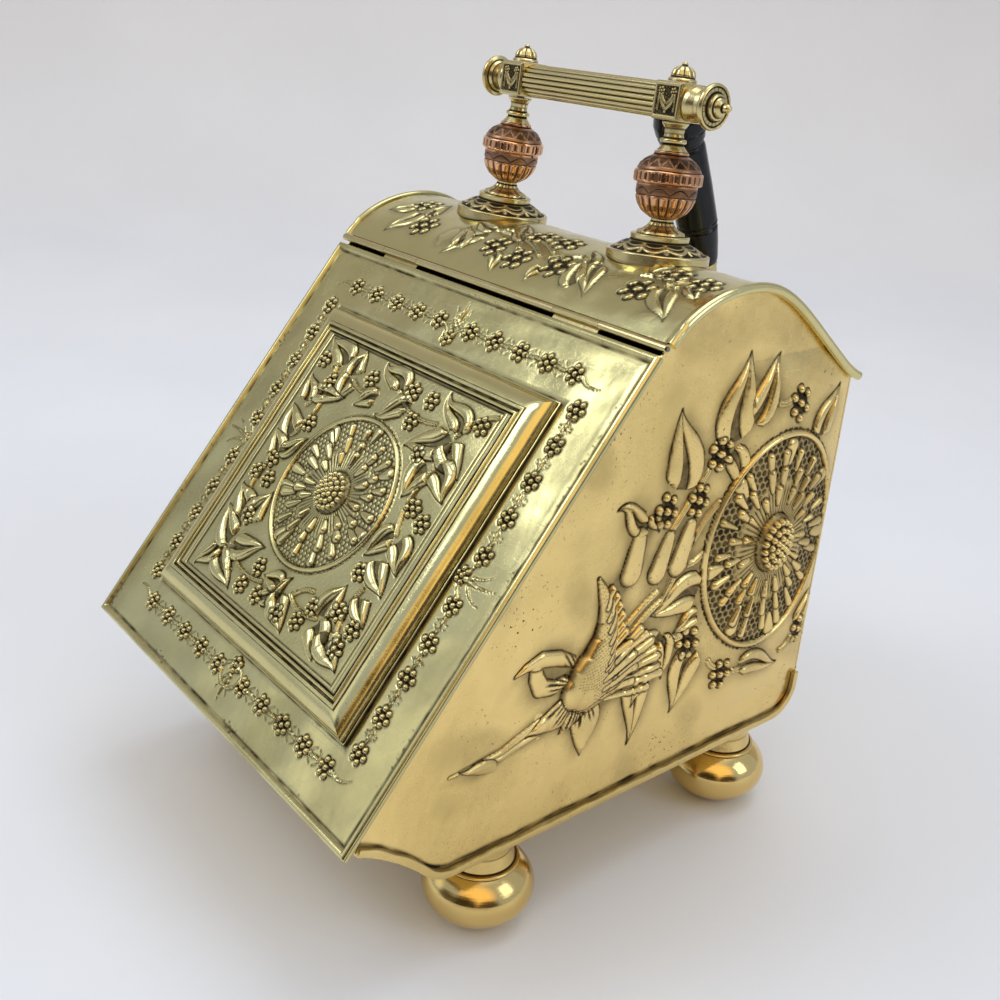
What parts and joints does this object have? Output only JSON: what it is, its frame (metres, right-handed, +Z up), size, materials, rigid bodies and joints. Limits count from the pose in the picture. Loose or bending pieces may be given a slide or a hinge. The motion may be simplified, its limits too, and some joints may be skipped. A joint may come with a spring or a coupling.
{
  "type": "coal scuttle",
  "caption": "Slope-fronted brass coal scuttle on bun feet, with a hinged repousse lid, a bar handle on turned pillars, a lift-out liner and a shovel hung in a pocket at the back.",
  "frame": {"origin": "on the floor, under the middle of the object's overall box", "axes": "+X to the viewer's right as one faces the sloping lid, -Y to the front, +Z up"},
  "size_m": [0.3312, 0.405, 0.4746],
  "materials": {
    "lid_brass": "aged polished brass sheet, pale greenish gold, soft broad reflections, dark patina in the creases",
    "box_brass": "aged polished brass sheet, warmer gold, fine scratches and small dark pits",
    "cast_brass": "antique cast brass, darker and greenish, polished on the high parts",
    "polished_brass": "turned brass, brightly polished",
    "copper": "antique copper plate, dark brown in the hollows",
    "steel": "dull dark steel",
    "liner_steel": "black japanned sheet steel, matt, a little coal dust",
    "ebonised_wood": "turned hardwood, ebonised and lacquered glossy black"
  },
  "bodies": {
    "box": {"side_panel_left": "box_brass", "side_panel_right": "box_brass", "bottom_tray": "box_brass", "back_panel": "box_brass", "top_cover": "lid_brass", "coal_liner": "liner_steel", "hinge_leaf_cover": "cast_brass", "hinge_pin": "steel", "bun_foot_front_left": "polished_brass", "foot_nut_front_left": "steel", "bun_foot_rear_left": "polished_brass", "foot_nut_rear_left": "steel", "bun_foot_front_right": "polished_brass", "foot_nut_front_right": "steel", "bun_foot_rear_right": "polished_brass", "foot_nut_rear_right": "steel", "pillar_flange_left": "cast_brass", "pillar_stem_left": "cast_brass", "urn_bowl_left": "copper", "urn_band_left": "copper", "urn_dome_left": "copper", "pillar_neck_left": "cast_brass", "tie_rod_left": "steel", "tie_washer_left": "steel", "tie_nut_left": "steel", "handle_block_left": "cast_brass", "finial_left": "cast_brass", "end_cap_left": "cast_brass", "pillar_flange_right": "cast_brass", "pillar_stem_right": "cast_brass", "urn_bowl_right": "copper", "urn_band_right": "copper", "urn_dome_right": "copper", "pillar_neck_right": "cast_brass", "tie_rod_right": "steel", "tie_washer_right": "steel", "tie_nut_right": "steel", "handle_block_right": "cast_brass", "finial_right": "cast_brass", "end_cap_right": "cast_brass", "handle_grip": "cast_brass", "shovel_pocket": "box_brass", "pocket_rivet_1": "cast_brass", "pocket_rivet_2": "cast_brass", "pocket_rivet_3": "cast_brass", "pocket_rivet_4": "cast_brass"},
    "lid": {"lid_skin": "lid_brass", "hinge_leaf_lid": "cast_brass", "lid_backing_sheet": "steel", "lid_moulding": "lid_brass", "lid_centre_panel": "lid_brass"},
    "shovel": {"shovel_pan": "box_brass", "shovel_socket": "cast_brass", "shovel_grip": "ebonised_wood", "shovel_rivet_1": "cast_brass", "shovel_rivet_2": "cast_brass"}
  },
  "joints": [
    {"name": "lid_hinge", "type": "hinge", "parent": "box", "child": "lid", "pos_m": [0, -0.01326, 0.3428], "axis": [-1, 0, 0], "range_deg": [0, 142]},
    {"name": "shovel_lift", "type": "slide", "parent": "box", "child": "shovel", "axis": [0, 0, 1], "range_m": [0, 0.07]}
  ]
}
